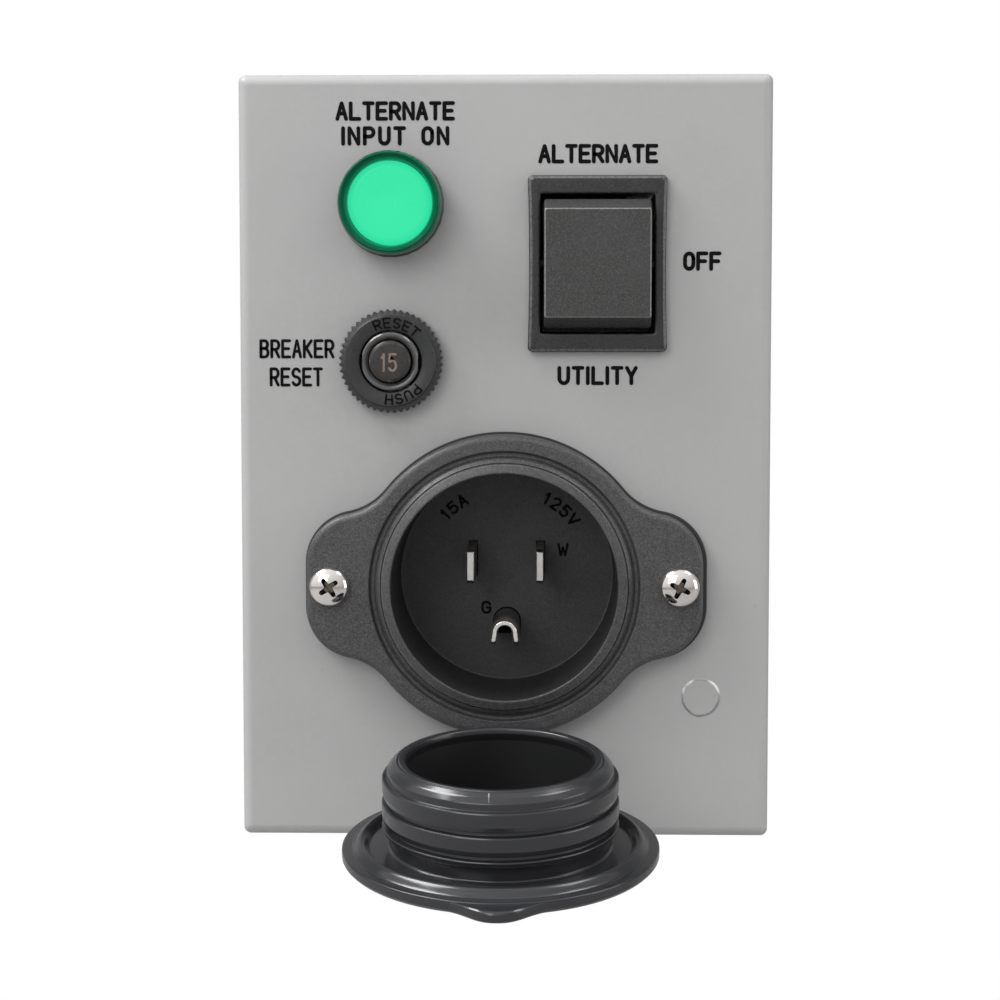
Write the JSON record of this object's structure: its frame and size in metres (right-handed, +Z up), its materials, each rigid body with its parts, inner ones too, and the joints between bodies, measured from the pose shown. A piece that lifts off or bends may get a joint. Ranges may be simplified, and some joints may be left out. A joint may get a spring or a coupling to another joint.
{
  "type": "generator inlet box",
  "caption": "Small grey steel wall box with a recessed power inlet under a hinged rubber cap, a rocker switch, a reset button and a green pilot lamp.",
  "frame": {"origin": "centre of the back plate's rear face, which rests on the wall", "axes": "+Y into the wall, +Z up, +X to the right when facing the front panel"},
  "size_m": [0.1, 0.1316, 0.1385],
  "materials": {
    "grey_paint": "semi-gloss grey powder coat over folded sheet steel",
    "zinc_steel": "zinc-plated steel",
    "nickel": "bright nickel plate on brass",
    "copper": "copper alloy",
    "black_plastic": "fine-grained black moulded thermoplastic",
    "black_rubber": "glossy black moulded rubber",
    "green_lens": "clear green moulded lens",
    "circuit_board": "printed board with a lamp chip",
    "black_wire": "black wire insulation",
    "white_wire": "white wire insulation",
    "green_wire": "green wire insulation"
  },
  "bodies": {
    "box": {"enclosure_shell": "grey_paint", "back_plate": "grey_paint", "cover_screw_left_top": "zinc_steel", "cover_screw_left_bottom": "zinc_steel", "cover_screw_right_top": "zinc_steel", "cover_screw_right_bottom": "zinc_steel", "ground_stud": "zinc_steel", "ground_nut": "zinc_steel", "flange_nut_left": "zinc_steel", "flange_nut_right": "zinc_steel", "breaker_back_nut": "zinc_steel", "breaker_spring": "zinc_steel", "switch_pivot_pin": "zinc_steel", "inlet_hot_blade": "nickel", "inlet_neutral_blade": "nickel", "inlet_ground_pin": "nickel", "inlet_hot_terminal_screw": "nickel", "inlet_neutral_terminal_screw": "nickel", "inlet_ground_terminal_screw": "nickel", "flange_screw_left": "nickel", "flange_screw_right": "nickel", "lamp_terminal_left": "nickel", "lamp_terminal_right": "nickel", "breaker_line_terminal": "nickel", "breaker_load_terminal": "nickel", "switch_hot_generator_terminal": "nickel", "switch_hot_common_terminal": "nickel", "switch_hot_utility_terminal": "nickel", "switch_neutral_generator_terminal": "nickel", "switch_neutral_common_terminal": "nickel", "switch_neutral_utility_terminal": "nickel", "ground_ring_terminal": "copper", "breaker_bimetal": "copper", "inlet_flange": "black_plastic", "inlet_rear_body": "black_plastic", "lamp_body": "black_plastic", "lamp_locknut": "black_plastic", "breaker_bushing": "black_plastic", "breaker_nut": "black_plastic", "breaker_case": "black_plastic", "breaker_cover": "black_plastic", "switch_housing": "black_plastic", "switch_base": "black_plastic", "inlet_gasket": "black_rubber", "cap_strap_root": "black_rubber", "lamp_gasket": "black_rubber", "lamp_lens": "green_lens", "lamp_led_board": "circuit_board", "wire_inlet_to_breaker": "black_wire", "wire_breaker_to_switch": "black_wire", "wire_lamp_live": "black_wire", "wire_inlet_neutral": "white_wire", "wire_lamp_neutral": "white_wire", "wire_ground": "green_wire"},
    "cap": {"inlet_cap": "black_rubber"},
    "rocker": {"switch_rocker": "black_plastic"},
    "contact_arms": {"switch_hot_contact_arm": "copper", "switch_neutral_contact_arm": "copper"},
    "reset_button": {"breaker_button": "black_plastic"}
  },
  "joints": [
    {"name": "cap_hinge", "type": "hinge", "parent": "box", "child": "cap", "pos_m": [0, -0.0725, -0.0536], "axis": [1, 0, 0], "range_deg": [-98, 30]},
    {"name": "rocker_tilt", "type": "hinge", "parent": "box", "child": "rocker", "pos_m": [0.0166, -0.069, 0.0351], "axis": [1, 0, 0], "range_deg": [-11, 11]},
    {"name": "contact_arms_tilt", "type": "hinge", "parent": "box", "child": "contact_arms", "pos_m": [0.0166, -0.0577, 0.0351], "axis": [1, 0, 0], "range_deg": [-8, 8]},
    {"name": "reset_button_slide", "type": "slide", "parent": "box", "child": "reset_button", "axis": [0, -1, 0], "range_m": [-0.0005, 0.0035], "deforming": ["breaker_spring"]}
  ],
  "couplings": [
    {"joint": "contact_arms_tilt", "follows": "rocker_tilt", "ratio": -0.7}
  ]
}
